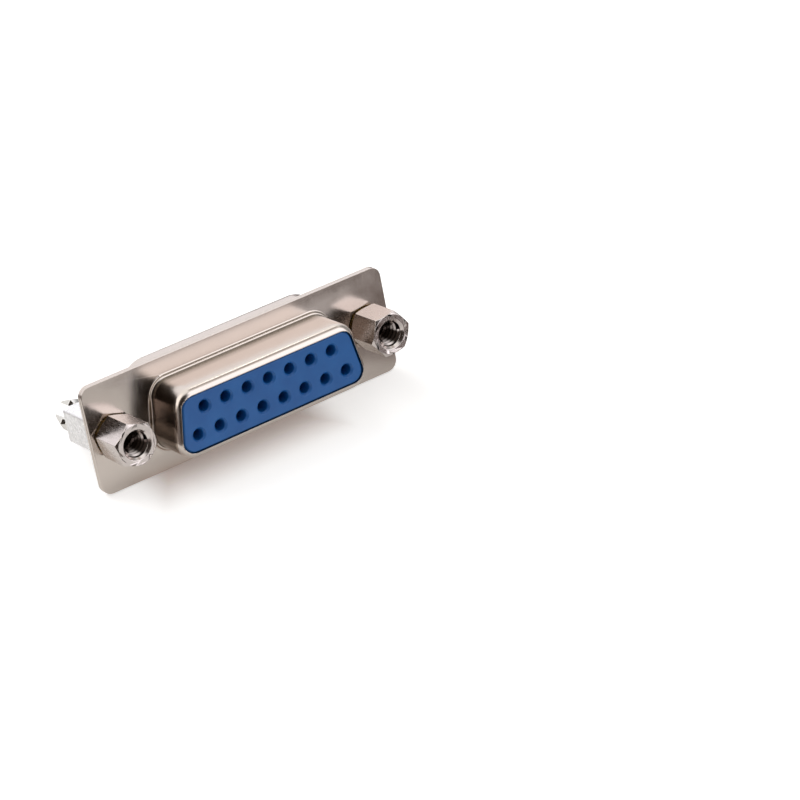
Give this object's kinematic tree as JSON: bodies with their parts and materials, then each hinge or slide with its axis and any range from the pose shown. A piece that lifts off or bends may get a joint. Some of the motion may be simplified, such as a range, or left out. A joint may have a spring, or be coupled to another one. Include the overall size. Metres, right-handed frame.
{
  "type": "d-sub connector",
  "caption": "Board-mount D-shaped socket connector with a plated steel shell, blue insulator, gold contact tails, hexagonal screwlocks and snap-in board locks.",
  "frame": {"origin": "middle of the flange's front face, on the plug's centre line", "axes": "+X along the flange, -Y the way the plug leaves, +Z towards the row of seven contacts"},
  "size_m": [0.0392, 0.0171, 0.0126],
  "materials": {
    "plated_shell": "satin nickel plate on drawn sheet",
    "blue_moulding": "fine matt moulding",
    "gold_plate": "gold plate",
    "bright_nickel": "bright nickel plate, turned",
    "tinned_sheet": "mottled tin plate",
    "tinned_fork": "bright tin plate"
  },
  "bodies": {
    "root": {"front_shell": "plated_shell", "rear_shell": "plated_shell", "front_insulator": "blue_moulding", "rear_insulator": "blue_moulding", "contact_01": "gold_plate", "contact_02": "gold_plate", "contact_03": "gold_plate", "contact_04": "gold_plate", "contact_05": "gold_plate", "contact_06": "gold_plate", "contact_07": "gold_plate", "contact_08": "gold_plate", "contact_09": "gold_plate", "contact_10": "gold_plate", "contact_11": "gold_plate", "contact_12": "gold_plate", "contact_13": "gold_plate", "contact_14": "gold_plate", "contact_15": "gold_plate", "screwlock_left": "bright_nickel", "bracket_left": "tinned_sheet", "board_lock_left": "tinned_fork", "screwlock_right": "bright_nickel", "bracket_right": "tinned_sheet", "board_lock_right": "tinned_fork"}
  },
  "joints": []
}
